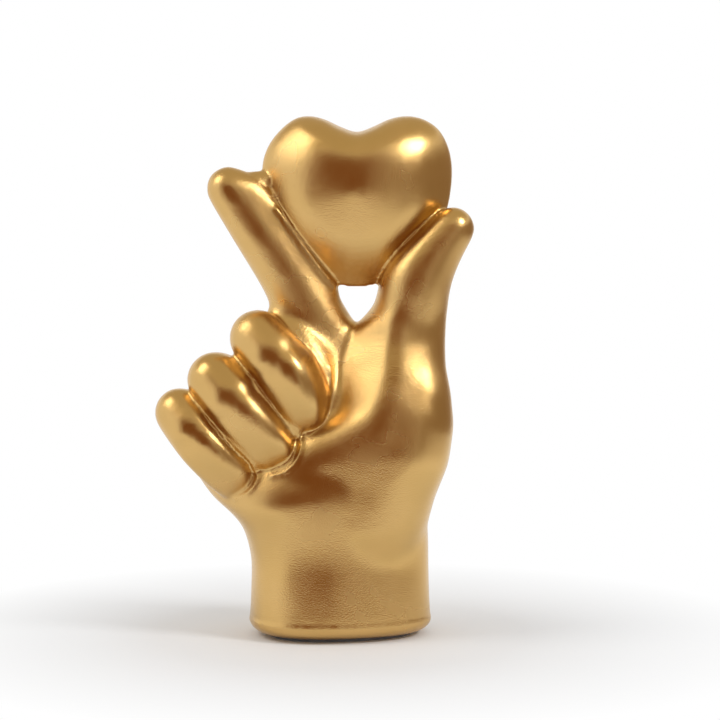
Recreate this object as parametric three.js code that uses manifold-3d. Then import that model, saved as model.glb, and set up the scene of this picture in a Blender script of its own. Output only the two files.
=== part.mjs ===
// A tabletop sculpture of a right hand that holds a plump heart between its index finger and thumb.
// The other three fingers are folded on the palm, and the cut wrist is the foot that it stands on.
// It is cast in resin in separate pieces, pinned and glued together, and painted gold all over.
// Millimetres, +Z up. The viewer of the palm looks along +Y, with +X to the right.
// The origin is on the table, at the centre of the foot.
import * as THREE from 'three';
import { ConvexGeometry } from 'three/addons/geometries/ConvexGeometry.js';
import { mergeVertices } from 'three/addons/utils/BufferGeometryUtils.js';
import Module from 'manifold-3d';

const wasm = await Module();
wasm.setup();

// Sizes of the foot and the wrist
const footWidth = 68;
const footDepth = 52.4;
const footTurn = 12;             // degrees that the foot's right end is turned away from the viewer
const footEdgeRadius = 5.2;      // rounded lower edge
const wristWidth = 67;           // at its narrowest place
const wristDepth = 48;
const wristHeight = 28;          // height of that place
const wristWall = 9;             // casting wall round the hollow
const hollowHeight = 46;         // top of the hollow, above the table
const hollowDome = 8;            // its rounded part

// Sizes of the palm. Its knuckles stand in a row, index side high.
const knuckleRowLeft = 26.5;     // middle of the row: this far left of the foot's centre,
const knuckleRowBack = 9;        // this far behind it,
const knuckleRowHeight = 88;     // and this high
const knuckleRowWidth = 77;
const knuckleRowDepth = 31;
const knuckleRowTilt = 34;       // degrees
const knuckleCrown = 14;         // how far the knuckles round off ahead of the row's middle

// Sizes of the fingers
const fingerThickness = 21.6;    // folded ring finger
const fingerReach = 26.5;        // folded fingers: how far forward their bends are of their knuckles,
const fingerRise = 14.5;         // how far ahead of them,
const fingerFold = 34.5;         // and how far the tips are folded back from the bends
const fingerBendAside = 3;       // bends lie this far to the little finger's side of their knuckles
const fingerBulge = 4.2;         // fronts bow this far forward between bend and tip
const fingerTipDepth = 1.5;      // tips lie this far behind the bends
const fingerSeat = 5;            // they are glued on a flat face, this far forward of the foot's centre
const indexThickness = 21.2;     // half way along
const indexTipForward = 7;       // its tip leans this far forward of the foot's centre
const indexRootForward = 6;      // its root: this far forward of the knuckle row,
const indexRootAhead = 5;        // and this far ahead of it
const thumbThickness = 27.2;     // at its middle joint
const thumbKnuckleRight = 26.8;  // the thumb's knuckle: this far right of the foot's centre,
const thumbKnuckleForward = 9;   // this far forward,
const thumbKnuckleHeight = 93.5; // and this high
const thumbBow = 2.4;            // above it the thumb bows this far to the left
const thumbLean = 3;             // and leans this far back
const webThickness = 22;         // between the thumb and the index finger
const palmFleshThickness = 38;   // below the web

// Sizes of the heart
const heartWidth = 71;
const heartHeight = 64.5;
const heartThickness = 39;
const heartRight = 6.3;          // its centre: this far right of the foot's centre,
const heartForward = 2.5;        // this far forward,
const heartCentreHeight = 165;   // and this high

// Sizes of what is out of sight
const glueLine = 0.3;            // room between neighbouring pieces
const dowelThickness = 4;
const dowelBite = 12;            // how far a dowel goes into each of the two pieces that it joins
const heartDowelThickness = 3;
const heartDowelBite = 6;
const basePlateThickness = 3;
const ballastHeight = 26;
const padThickness = 1;
const padInset = 2;              // from the edge of the foot's flat

// How finely round shapes are faceted
const limbSides = 18;
const capSteps = 4;
const palmSides = 36;
const heartSides = 36;
const heartRows = 12;
const dowelSides = 20;
const edgeSteps = 3;
const ballSteps = 2;

const { cos, sin, PI } = Math;
const between = THREE.MathUtils.lerp;
const radians = THREE.MathUtils.degToRad;
const at = (x, y, z) => new THREE.Vector3(x, y, z);
const plus = (point, direction, length) => point.clone().addScaledVector(direction, length);

// A closed geometry becomes a solid, which can be joined and cut, and a solid becomes a geometry
function solidFrom(geometry) {
  const bare = geometry.clone();
  bare.deleteAttribute('normal');
  bare.deleteAttribute('uv');
  const merged = mergeVertices(bare, 1e-4);
  const mesh = new wasm.Mesh({
    numProp: 3,
    vertProperties: merged.attributes.position.array,
    triVerts: new Uint32Array(merged.index.array),
  });
  return new wasm.Manifold(mesh);
}

function geometryFrom(solid) {
  const mesh = solid.getMesh();
  const corners = new Float32Array(mesh.numVert * 3);
  for (let i = 0; i < mesh.numVert; i++) {
    const first = i * mesh.numProp;
    corners.set(mesh.vertProperties.subarray(first, first + 3), i * 3);
  }
  const shared = new THREE.BufferGeometry();
  shared.setAttribute('position', new THREE.BufferAttribute(corners, 3));
  shared.setIndex(new THREE.BufferAttribute(new Uint32Array(mesh.triVerts), 1));
  const geometry = shared.toNonIndexed();
  geometry.computeVertexNormals();
  return geometry;
}

const join = (...parts) => parts.reduce((all, next) => all.add(next));
const cut = (solid, ...tools) => tools.reduce((rest, tool) => rest.subtract(tool), solid);
// The largest piece, without the slivers that a cut can leave between curved neighbours
const withoutSlivers = (solid) => solid.decompose().reduce((a, b) => (a.volume() > b.volume() ? a : b));

// A skin over rings that all have the same number of corners, closed by a point at either end
function skinOver(rings, startPoint, endPoint) {
  const sides = rings[0].length;
  const corners = [startPoint, ...rings.flat(), endPoint];
  const last = corners.length - 1;
  const faces = [];
  for (let i = 0; i < sides; i++) {
    const j = (i + 1) % sides;
    faces.push(0, 1 + j, 1 + i);
    for (let r = 1; r < rings.length; r++) {
      const low = 1 + (r - 1) * sides;
      const high = low + sides;
      faces.push(low + i, low + j, high + j);
      faces.push(low + i, high + j, high + i);
    }
    faces.push(last, last - sides + i, last - sides + j);
  }
  const geometry = new THREE.BufferGeometry().setFromPoints(corners);
  geometry.setIndex(faces);
  return solidFrom(geometry);
}

// A limb: a round body swept through stations { point, radius }, with round ends.
// `grow` makes it that much thicker all over, for the room that a neighbour leaves for it.
function limb(stations, grow = 0, stepsPerSpan = 3) {
  const path = new THREE.CatmullRomCurve3(stations.map(({ point }) => point));
  const girth = new THREE.CatmullRomCurve3(stations.map(({ radius }, i) => at(i, radius, 0)));
  const along = (t) => path.getTangent(t);
  const radiusAt = (t) => girth.getPoint(t).y + grow;
  const rings = [];
  let across = Math.abs(along(0).z) > 0.8 ? at(0, 1, 0) : at(0, 0, 1);
  const addRing = (t, shift, radius) => {
    across = plus(across, along(t), -across.dot(along(t))).normalize();
    const through = along(t).cross(across);
    const centre = plus(path.getPoint(t), along(t), shift);
    const ring = [];
    for (let i = 0; i < limbSides; i++) {
      const turn = (2 * PI * i) / limbSides;
      ring.push(plus(plus(centre, across, radius * cos(turn)), through, radius * sin(turn)));
    }
    rings.push(ring);
  };
  for (let i = 1; i < capSteps; i++) {
    const rise = (PI / 2) * (1 - i / capSteps);
    addRing(0, -radiusAt(0) * sin(rise), radiusAt(0) * cos(rise));
  }
  const steps = (stations.length - 1) * stepsPerSpan;
  for (let i = 0; i <= steps; i++) {
    addRing(i / steps, 0, radiusAt(i / steps));
  }
  for (let i = 1; i < capSteps; i++) {
    const rise = (PI / 2) * (i / capSteps);
    addRing(1, radiusAt(1) * sin(rise), radiusAt(1) * cos(rise));
  }
  const start = plus(path.getPoint(0), along(0), -radiusAt(0));
  const end = plus(path.getPoint(1), along(1), radiusAt(1));
  return skinOver(rings, start, end);
}

// The tight skin round a few balls { point, radius }
function wrap(balls, grow = 0) {
  const corners = balls.flatMap(({ point, radius }) => {
    const ball = new THREE.IcosahedronGeometry(radius + grow, ballSteps);
    ball.translate(point.x, point.y, point.z);
    const bare = new THREE.BufferGeometry().setAttribute('position', ball.attributes.position);
    const { position } = mergeVertices(bare).attributes;
    const indices = [...Array(position.count).keys()];
    return indices.map((i) => at(0, 0, 0).fromBufferAttribute(position, i));
  });
  return solidFrom(new ConvexGeometry(corners));
}

// Wraps each section, a list of balls, together with the next one
function wrapAlong(sections, grow = 0) {
  return join(...sections.slice(1).map((section, i) => wrap([...sections[i], ...section], grow)));
}

// A round bar from one point to another, for dowels and their holes
function bar(start, end, radius, overrun = 0) {
  const along = end.clone().sub(start);
  const length = along.length() + 2 * overrun;
  const geometry = new THREE.CylinderGeometry(radius, radius, length, dowelSides);
  const turn = new THREE.Quaternion().setFromUnitVectors(at(0, 1, 0), along.normalize());
  geometry.applyQuaternion(turn);
  const middle = start.clone().lerp(end, 0.5);
  geometry.translate(middle.x, middle.y, middle.z);
  return solidFrom(geometry);
}

// All the space on one side of a plane: the side that `facing` points to
const farAway = 10 * heartCentreHeight;
function sideOf(point, facing) {
  const geometry = new THREE.BoxGeometry(farAway, farAway, farAway);
  geometry.translate(0, farAway / 2, 0);
  geometry.applyQuaternion(new THREE.Quaternion().setFromUnitVectors(at(0, 1, 0), facing));
  geometry.translate(point.x, point.y, point.z);
  return solidFrom(geometry);
}

// An oval ring, a little boxier than an ellipse.
// `tilt` lifts its right end, `turn` takes that end further away.
const boxiness = 2.35;           // 2 is an ellipse
const boxy = (share) => Math.sign(share) * Math.abs(share) ** (2 / boxiness);
function ovalRing({ centre, halfWidth, halfDepth, tilt = 0, turn = 0 }) {
  const [a, b] = [radians(tilt), radians(turn)];
  const across = at(cos(a) * cos(b), sin(b), sin(a) * cos(b));
  const through = at(-cos(a) * sin(b), cos(b), -sin(a) * sin(b));
  const ring = [];
  for (let i = 0; i < palmSides; i++) {
    const t = (2 * PI * i) / palmSides;
    ring.push(plus(plus(centre, across, halfWidth * boxy(cos(t))), through, halfDepth * boxy(sin(t))));
  }
  return ring;
}

// The knuckles' own directions: across to the index side, and ahead, the way that fingers point
const knuckleRow = at(-knuckleRowLeft, knuckleRowBack, knuckleRowHeight);
const acrossRow = at(cos(radians(knuckleRowTilt)), 0, sin(radians(knuckleRowTilt)));
const aheadOfRow = at(-sin(radians(knuckleRowTilt)), 0, cos(radians(knuckleRowTilt)));
const forward = at(0, -1, 0);
const fromRow = (share, out, ahead) => {
  const inRow = plus(knuckleRow, acrossRow, (share * knuckleRowWidth) / 2);
  return plus(plus(inRow, forward, out), aheadOfRow, ahead);
};

// The palm: oval rings from the foot, through the wrist, to the row of knuckles
const footBottom = padThickness + glueLine;
function footRings() {
  const rings = [];
  for (let i = 0; i <= edgeSteps; i++) {
    const t = ((PI / 2) * i) / edgeSteps;
    const inset = footEdgeRadius * (1 - sin(t));
    rings.push({
      centre: at(0, 0, footBottom + footEdgeRadius * (1 - cos(t))),
      halfWidth: footWidth / 2 - inset,
      halfDepth: footDepth / 2 - inset,
      turn: footTurn,
    });
  }
  return rings;
}

// Between wrist and knuckles, as shares of the way: height, lean to the left and to the back,
// width, tilt and thinning
const palmBend = [
  [0, 0, 0, 0, 0, 0], [0.15, 0.03, -0.04, 0.08, 0.09, 0.01], [0.32, 0.11, -0.16, 0.2, 0.27, -0.05],
  [0.5, 0.3, -0.22, 0.38, 0.5, -0.07], [0.68, 0.57, 0.06, 0.66, 0.77, 0.21],
  [0.85, 0.79, 0.53, 0.94, 0.91, 0.64],
];
function palmRings() {
  return palmBend.map(([rise, leftward, backward, spread, tilt, thinning]) => ({
    centre: at(
      knuckleRow.x * leftward,
      knuckleRow.y * backward,
      between(wristHeight, knuckleRow.z, rise),
    ),
    halfWidth: between(wristWidth, knuckleRowWidth, spread) / 2,
    halfDepth: between(wristDepth, knuckleRowDepth, thinning) / 2,
    tilt: knuckleRowTilt * tilt,
    turn: footTurn * (1 - rise),
  }));
}

function knuckleRings() {
  const rings = [];
  for (let i = 0; i <= capSteps; i++) {
    const t = ((PI / 2) * i) / (capSteps + 0.8);
    rings.push({
      centre: plus(knuckleRow, aheadOfRow, knuckleCrown * sin(t)),
      halfWidth: knuckleRowWidth / 2 - knuckleCrown * 0.7 * (1 - cos(t)),
      halfDepth: (knuckleRowDepth / 2) * cos(t),
      tilt: knuckleRowTilt,
    });
  }
  return rings;
}

function palmBody() {
  const stations = [...footRings(), ...palmRings(), ...knuckleRings()];
  const top = stations[stations.length - 1].centre;
  const crown = plus(top, aheadOfRow, knuckleCrown * 0.07);
  return skinOver(stations.map(ovalRing), stations[0].centre, crown);
}

// Places beside the heart, as shares of its width and height from its centre
const besideHeart = (across, out, above) => {
  return at(heartRight + across * heartWidth, -out, heartCentreHeight + above * heartHeight);
};

// The thumb's ray runs from the wrist, as the ball of the thumb, up to the tip beside the heart.
// Stations below its knuckle are shares of the knuckle's own place. Above it they lie between
// the knuckle and the place where the thumb reaches the heart, bowed to the palm's middle.
const thumbRadius = thumbThickness / 2;
const byKnuckle = (right, out, height) => {
  return at(right * thumbKnuckleRight, -out * thumbKnuckleForward, height * thumbKnuckleHeight);
};
const thumbKnuckle = byKnuckle(1, 1, 1);
const thumbAtHeart = besideHeart(0.325, 0.78 * thumbKnuckleForward, -0.46);
const onThumb = (share) => {
  const bowed = plus(thumbKnuckle.clone().lerp(thumbAtHeart, share), at(-1, 0, 0), thumbBow);
  return plus(bowed, forward, -thumbLean);
};
const thumbRay = [
  { point: byKnuckle(0.2, -0.11, 0.25), radius: thumbRadius * 1.47 },
  { point: byKnuckle(0.386, 0.33, 0.492), radius: thumbRadius * 1.67 },
  { point: byKnuckle(0.578, 0.667, 0.631), radius: thumbRadius * 1.54 },
  { point: byKnuckle(0.822, 1.02, 0.754), radius: thumbRadius * 1.4 },
  { point: byKnuckle(0.93, 1.067, 0.856), radius: thumbRadius * 1.28 },
  { point: thumbKnuckle, radius: thumbRadius * 1.03 },
  { point: onThumb(0.37), radius: thumbRadius * 0.97 },
  { point: onThumb(0.705), radius: thumbRadius * 0.98 },
  { point: thumbAtHeart, radius: thumbRadius * 0.93 },
  { point: besideHeart(0.413, 0.88 * thumbKnuckleForward, -0.3), radius: thumbRadius * 0.73 },
  { point: besideHeart(0.5, 0.94 * thumbKnuckleForward, -0.182), radius: thumbRadius * 0.6 },
];

// Along its ray the thumb and its ball have a ridge, from which the web slopes back to a far edge.
// At each station: how far to the palm's middle, how far forward and how thick, in thumb radii.
const thumbRidge = [
  [0, 0, 1.47], [0.18, 0.01, 1.62], [0.71, -0.07, 1.54], [0.6, 0.23, 1.18], [0.71, 0.51, 0.88],
  [0.57, 0.61, 0.61], [0.37, 0.66, 0.44], [0.3, 0.5, 0.44], [0.22, 0.36, 0.44],
];
const webEdge = [
  [0.3, 0, 1.4], [1.21, -0.07, 1.47], [2.03, 0, 1.18], [1.93, 0.1, 1.1], [1.7, 0.21, 0.59],
  [1.85, 0.04, 0.42], [1.51, 0, 0.29],
];
const webBack = [
  [0.3, 0, 1.4], [0.76, -0.22, 1.47], [1.15, -0.44, 1.47], [1.26, -0.68, 1.32], [1.26, -0.85, 1.18],
  [1.1, -0.96, 0.97], [0.41, -0.4, 0.81],
];
const besideRay = (i, [inward, out, girth]) => ({
  point: plus(plus(thumbRay[i].point, at(-1, 0, 0), inward * thumbRadius), forward, out * thumbRadius),
  radius: girth * thumbRadius,
});
const ridgeSections = thumbRidge.map((share, i) => [thumbRay[i], besideRay(i, share)]);
const ballSections = webEdge.map((share, i) => {
  return [...ridgeSections[i], besideRay(i, share), besideRay(i, webBack[i])];
});
const thumbStart = 4;            // first station that the thumb itself is made from
const thumbBody = (grow) => {
  return join(limb(thumbRay.slice(thumbStart), grow), wrapAlong(ridgeSections.slice(thumbStart), grow));
};
const thumbBallBody = () => wrapAlong(ballSections);

// The index finger runs from its knuckle up along the heart, with its pad pressed on the heart
const indexRadius = indexThickness / 2;
const indexRoot = fromRow(0.83, indexRootForward, indexRootAhead);
const indexMiddle = besideHeart(-0.36, 0.3 * indexTipForward, -0.435);
const indexRay = [
  { point: indexRoot, radius: indexRadius * 1.13 },
  { point: indexRoot.clone().lerp(indexMiddle, 0.46), radius: indexRadius * 1.08 },
  { point: indexMiddle, radius: indexRadius },
  { point: besideHeart(-0.53, 0.7 * indexTipForward, -0.17), radius: indexRadius * 0.87 },
  { point: besideHeart(-0.667, indexTipForward, 0.04), radius: indexRadius * 0.74 },
];
const indexPad = [
  { point: besideHeart(-0.42, 0.6 * indexTipForward, -0.16), radius: indexRadius * 0.7 },
  { point: besideHeart(-0.56, 0.85 * indexTipForward, 0.035), radius: indexRadius * 0.66 },
  { point: besideHeart(-0.655, indexTipForward, 0.03), radius: indexRadius * 0.7 },
];
const indexBody = (grow) => {
  const pad = indexPad.slice(0, 2);
  const tip = indexPad.slice(1);
  return join(limb(indexRay, grow), limb(pad, grow, 1), limb(tip, grow, 1));
};

// The folded fingers: each goes forward from its knuckle to its bend, then back down to the palm.
// `place` is its share of the way along the row, and `ahead` how far its knuckle is ahead of the row,
// as a share of the knuckles' crown.
// `aside` is how far its tip is carried to the index side, and `arch` how far its front bows to that
// side, as shares of fingerThickness.
// `size` and `length` are shares of the ring finger's; `girth` and `tip` are shares of its own thickness.
const foldedFingers = {
  middle: {
    place: 0.36, ahead: 0.64, length: 1, size: 1, aside: 0, arch: 0.1, girth: 1.05, tip: 0.89,
  },
  ring: {
    place: -0.2, ahead: 0.36, length: 1, size: 1, aside: 0.19, arch: 0.03, girth: 1.02, tip: 0.92,
  },
  little: {
    place: -0.66, ahead: 0.18, length: 0.9, size: 0.86, aside: 0.15, arch: 0.02, girth: 1.07, tip: 0.99,
  },
};
const stumpGirth = 0.94;         // behind the bend, as a share of the finger's thickness

// A folded finger's front has a ridge along it. Its section is four balls: the lower edge, the ridge,
// the upper edge and the back. For each: how far to the index side, how far forward and how thick,
// as shares of the finger's radius.
const fingerSection = [[-0.34, -0.05, 0.66], [0.26, 0.5, 0.42], [0.5, -0.14, 0.5], [0, -0.4, 0.6]];
function foldedFinger(finger, grow = 0) {
  const radius = (fingerThickness / 2) * finger.size;
  const knuckle = fromRow(finger.place, 0, knuckleCrown * finger.ahead);
  const overBend = plus(knuckle, aheadOfRow, fingerRise * finger.length);
  const bend = plus(plus(overBend, forward, fingerReach * finger.length), acrossRow, -fingerBendAside);
  const folded = plus(bend, aheadOfRow, -fingerFold * finger.length);
  const carried = plus(folded, acrossRow, fingerThickness * finger.aside);
  const tip = plus(carried, forward, -fingerTipDepth);
  const arched = (share, bow) => {
    return plus(bend.clone().lerp(tip, share), acrossRow, fingerThickness * finger.arch * bow);
  };
  const bowed = (share, bow) => plus(arched(share, bow), forward, fingerBulge * bow);
  const front = [
    { point: bend, radius: radius * 0.97 },
    { point: bowed(0.22, 0.9), radius: radius * between(1, finger.girth, 0.6) },
    { point: bowed(0.46, 1), radius: radius * finger.girth },
    { point: tip, radius: radius * finger.tip },
  ];
  const towardsIndex = forward.clone().cross(tip.clone().sub(bend)).normalize();
  const sections = front.map((station) => fingerSection.map(([up, out, girth]) => ({
    point: plus(plus(station.point, towardsIndex, up * station.radius), forward, out * station.radius),
    radius: girth * station.radius,
  })));
  const stump = [knuckle, bend].map((point) => ({ point, radius: radius * stumpGirth }));
  return join(limb(stump, grow, 1), limb(front.slice(0, 2), grow, 1), wrapAlong(sections, grow));
}

// The web between the thumb and the index finger
const webMiddle = indexRay[0].point.clone().lerp(thumbRay[6].point, 0.45);
const webRadius = webThickness / 2;
const under = (point, share) => plus(point, at(0, 0, -1), share * webThickness);
const webUpper = [
  { point: under(indexRay[0].point, 0.41), radius: webRadius * 1.09 },
  { point: under(webMiddle, 0.25), radius: webRadius },
  { point: under(thumbRay[6].point, 0.18), radius: webRadius },
];

// The palm's crest runs from the ball of the thumb to below the little finger.
// At each station: the share of the way, how far it bows up, and how thick, in flesh thicknesses.
const crestEnd = at(-1.06 * knuckleRowLeft, -0.175 * palmFleshThickness, 0.6 * knuckleRowHeight);
const crestStations = [
  [0.28, 0.14, 0.434], [0.52, 0.175, 0.43], [0.68, 0.13, 0.41], [0.84, 0.07, 0.384], [1, 0, 0.33],
];
const palmCrest = crestStations.map(([share, bow, girth]) => ({
  point: plus(thumbRay[3].point.clone().lerp(crestEnd, share), at(0, 0, 1), bow * palmFleshThickness),
  radius: girth * palmFleshThickness,
}));

// The flesh in front of the index finger's root, and the bed that the middle finger lies on.
// At each station: the share of the way along the knuckle row, how far forward of it,
// how far ahead of it and how thick, in finger thicknesses.
const fleshStations = {
  indexHeel: [
    [0.8, 0.37, 0.3, 0.55], [0.558, 0.72, -0.06, 0.39], [0.433, 0.95, -0.52, 0.32],
    [0.245, 0.97, -0.97, 0.37],
  ],
  middleBed: [
    [0.536, 0.65, 1.09, 0.28], [0.575, 0.83, 0.65, 0.32], [0.584, 0.93, 0.13, 0.32],
    [0.478, 1.02, -0.35, 0.28],
  ],
};
const fleshLimb = (stations, grow = 0) => limb(stations.map(([share, out, ahead, girth]) => ({
  point: fromRow(share, out * fingerThickness, ahead * fingerThickness),
  radius: girth * fingerThickness,
})), grow, 2);
const bedBody = (grow) => fleshLimb(fleshStations.middleBed, grow);
const palmFlesh = () => join(
  limb(webUpper, 0, 2),
  limb(palmCrest, 0, 1),
  thumbBallBody(),
  fleshLimb(fleshStations.indexHeel),
  bedBody(0),
);

// The heart's outline from the notch round the right side to the point,
// as shares of half its width and of its height
const heartOutline = [
  [0, 0.372], [0.17, 0.402], [0.34, 0.445], [0.52, 0.463], [0.7, 0.442], [0.85, 0.378],
  [0.96, 0.285], [1, 0.17], [0.99, 0.04], [0.94, -0.09], [0.81, -0.225], [0.6, -0.365],
  [0.37, -0.485], [0.15, -0.53], [0, -0.537],
];
const crownHeight = 0.06;        // the thickest place, above the centre, as a share of the height
const crownSpread = 0.47;        // the oval that the notch fades into, as a share of width and height
const lobeRoundness = 3;         // 2 is a circle's arc, and more is flatter in the middle
const wedgeRoundness = 3.4;
const wedgeFall = 0.6;           // how far the front falls back towards the point, as a share

// How far the heart bulges at a share of the way from crown to edge, as a share of half its thickness:
// round towards the lobes, and a straight wedge with a rounded end towards the point (lowness 1)
function heartBulge(share, lowness) {
  const round = Math.sqrt(1 - share ** lobeRoundness);
  const wedge = Math.sqrt(1 - share ** wedgeRoundness) * (1 - wedgeFall * (Math.hypot(share, 0.1) - 0.1));
  return between(round, wedge, lowness);
}

// Rings of the outline, from the front over the edge to the back. The notch fades towards the middle.
// `grow` makes it that much larger all round, for the room that the hand leaves for it.
function heartBody(grow = 0) {
  const sizes = [heartWidth, heartHeight, heartThickness];
  const [width, height, thickness] = sizes.map((size) => size + 2 * grow);
  const rightSide = heartOutline.map(([x, z]) => at((x * width) / 2, 0, z * height));
  const leftSide = rightSide.slice(1, -1).reverse().map(({ x, z }) => at(-x, 0, z));
  const edge = new THREE.CatmullRomCurve3([...rightSide, ...leftSide], true).getPoints(heartSides);
  const crown = at(0, 0, height * crownHeight);
  const rings = [];
  for (let row = 1; row < heartRows; row++) {
    const t = (PI * row) / heartRows;
    const share = sin(t) ** 0.9;
    rings.push(edge.slice(0, -1).map((corner, i) => {
      const turn = (2 * PI * i) / heartSides;
      const oval = at(sin(turn) * width * crownSpread, 0, cos(turn) * height * crownSpread);
      const point = crown.clone().lerp(oval.lerp(corner, share ** 1.6), share);
      const bulge = heartBulge(Math.min(share, 1), 0.5 - 0.5 * cos(turn)) * Math.sign(cos(t));
      return point.setY(-(thickness / 2) * bulge).add(besideHeart(0, heartForward, 0));
    }));
  }
  const front = crown.clone().setY(-thickness / 2).add(besideHeart(0, heartForward, 0));
  const back = crown.clone().setY(thickness / 2).add(besideHeart(0, heartForward, 0));
  return skinOver(rings, front, back);
}

// Where the index finger and the thumb are sawn from the hand, square to their own length
const indexAlong = indexRay[1].point.clone().sub(indexRay[0].point).normalize();
const indexSaw = { point: indexRay[0].point.clone().lerp(indexRay[1].point, 0.5), along: indexAlong };
const thumbAlong = thumbRay[6].point.clone().sub(thumbRay[5].point).normalize();
const thumbSaw = { point: thumbRay[5].point, along: thumbAlong };
const fingerSide = ({ point, along }, room = 0) => sideOf(plus(point, along, -room), along);

// Dowels across the two sawn joints, and from either finger into the heart
function dowel({ point, along }, bite, thickness) {
  const start = plus(point, along, -bite);
  const end = plus(point, along, bite);
  const pin = bar(start, end, thickness / 2);
  const hole = bar(start, end, thickness / 2 + glueLine, glueLine);
  return { pin, hole };
}
const intoHeart = ({ point, radius }, direction) => {
  const along = direction.normalize();
  return dowel({ point: plus(point, along, radius), along }, heartDowelBite, heartDowelThickness);
};
const indexDowel = dowel(indexSaw, dowelBite, dowelThickness);
const thumbDowel = dowel(thumbSaw, dowelBite, dowelThickness);
const heartDowelLeft = intoHeart(indexRay[3], at(0.82, 0.1, 0.57));
const heartDowelRight = intoHeart(thumbRay[9], at(-0.8, 0.12, 0.6));

// The hollow up the middle of the wrist, open below, with a domed top
function hollowBody(shrink) {
  const oval = (height, share) => ({
    centre: at(0, 0, height),
    halfWidth: (wristWidth / 2 - wristWall - shrink) * share,
    halfDepth: (wristDepth / 2 - wristWall - shrink) * share,
    turn: footTurn,
  });
  const rings = [oval(-footBottom, 1)];
  for (let i = 0; i < capSteps; i++) {
    const t = ((PI / 2) * i) / capSteps;
    rings.push(oval(hollowHeight - shrink - hollowDome * (1 - sin(t)), cos(t)));
  }
  const top = at(0, 0, hollowHeight - shrink);
  return skinOver(rings.map(ovalRing), rings[0].centre, top);
}

// What fills the hollow between two heights, clear of its wall
function inHollow(bottom, top) {
  const above = sideOf(at(0, 0, bottom), at(0, 0, 1));
  const below = sideOf(at(0, 0, top), at(0, 0, -1));
  return hollowBody(glueLine).intersect(above).intersect(below);
}

function padBody() {
  const flat = footRings()[0];
  const ring = ovalRing({
    centre: at(0, 0, 0),
    halfWidth: flat.halfWidth - padInset,
    halfDepth: flat.halfDepth - padInset,
    turn: footTurn,
  });
  const upper = ring.map((corner) => corner.clone().setZ(padThickness));
  return skinOver([ring, upper], at(0, 0, 0), at(0, 0, padThickness));
}

// The whole forms, and the room that each leaves for itself in its neighbours
const wholeFinger = (name) => foldedFinger(foldedFingers[name]);
const roomForFinger = (name) => foldedFinger(foldedFingers[name], glueLine);
const roomForThumb = thumbBody(glueLine);
const roomForIndex = indexBody(glueLine);
const roomForBed = bedBody(glueLine);
const inFrontOfSeat = sideOf(at(0, -fingerSeat, 0), forward);
const seatRoom = sideOf(at(0, glueLine - fingerSeat, 0), forward);
const fingerNames = Object.keys(foldedFingers);

const wholeHand = join(palmBody(), palmFlesh(), thumbBody(0), indexBody(0), ...fingerNames.map(wholeFinger));
const plateTop = footBottom + basePlateThickness;
const ballastBottom = plateTop + glueLine;

// The bed is sawn through with the index finger, and its upper end stays on that finger
const bedBesideMiddle = cut(bedBody(0), roomForFinger('middle').intersect(seatRoom));
const indexWithBed = join(indexBody(0), bedBesideMiddle).intersect(fingerSide(indexSaw));

const solids = {
  hand_shell: withoutSlivers(cut(
    wholeHand,
    roomForThumb.intersect(fingerSide(thumbSaw, glueLine)),
    join(roomForIndex, roomForBed).intersect(fingerSide(indexSaw, glueLine)),
    ...fingerNames.map((name) => roomForFinger(name).intersect(seatRoom)),
    heartBody(glueLine),
    hollowBody(0),
    indexDowel.hole,
    thumbDowel.hole,
  )),
  thumb: cut(thumbBody(0).intersect(fingerSide(thumbSaw)), thumbDowel.hole, heartDowelRight.hole),
  index_finger: withoutSlivers(cut(indexWithBed, indexDowel.hole, heartDowelLeft.hole)),
  middle_finger: cut(wholeFinger('middle').intersect(inFrontOfSeat), roomForIndex),
  ring_finger: cut(wholeFinger('ring').intersect(inFrontOfSeat), roomForFinger('middle')),
  little_finger: cut(wholeFinger('little').intersect(inFrontOfSeat), roomForFinger('ring')),
  heart: cut(heartBody(), roomForIndex, roomForThumb, heartDowelLeft.hole, heartDowelRight.hole),
  index_pin: indexDowel.pin,
  thumb_pin: thumbDowel.pin,
  heart_pin_left: heartDowelLeft.pin,
  heart_pin_right: heartDowelRight.pin,
  base_plate: inHollow(footBottom, plateTop),
  ballast_plug: inHollow(ballastBottom, ballastBottom + ballastHeight),
  base_pad: padBody(),
};

const material = (color, roughness, metalness) => {
  return new THREE.MeshStandardMaterial({ color, roughness, metalness });
};
const goldPaint = material(0xc9a24f, 0.32, 1);
const steel = material(0xb9bcc0, 0.3, 1);
const materials = {
  index_pin: steel,
  thumb_pin: steel,
  heart_pin_left: steel,
  heart_pin_right: steel,
  base_plate: material(0xe6e0d2, 0.6, 0),
  ballast_plug: material(0xd8d5cd, 0.9, 0),
  base_pad: material(0x26252a, 0.95, 0),
};

const sculpture = new THREE.Group();
for (const [name, solid] of Object.entries(solids)) {
  const mesh = new THREE.Mesh(geometryFrom(solid), materials[name] ?? goldPaint);
  mesh.name = name;
  sculpture.add(mesh);
}

export default sculpture;
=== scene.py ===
# %% [markdown]
# # A gold hand that holds a heart
#
# The real object is a shelf ornament: a hand that rises from its cut wrist, with three fingers
# folded on the palm and a plump heart held between the index finger and the thumb. It is cast in
# several pieces of resin, pinned and glued, filled where the pieces meet, and sprayed with one coat
# of satin gold. We model it as a sculptor does. Rough masses are built from rings, pressed together
# like clay, smoothed into one skin, and that skin is then sawn into the pieces that were cast.

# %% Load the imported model
import math

import bmesh
import bpy
from mathutils import Matrix, Vector


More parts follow.
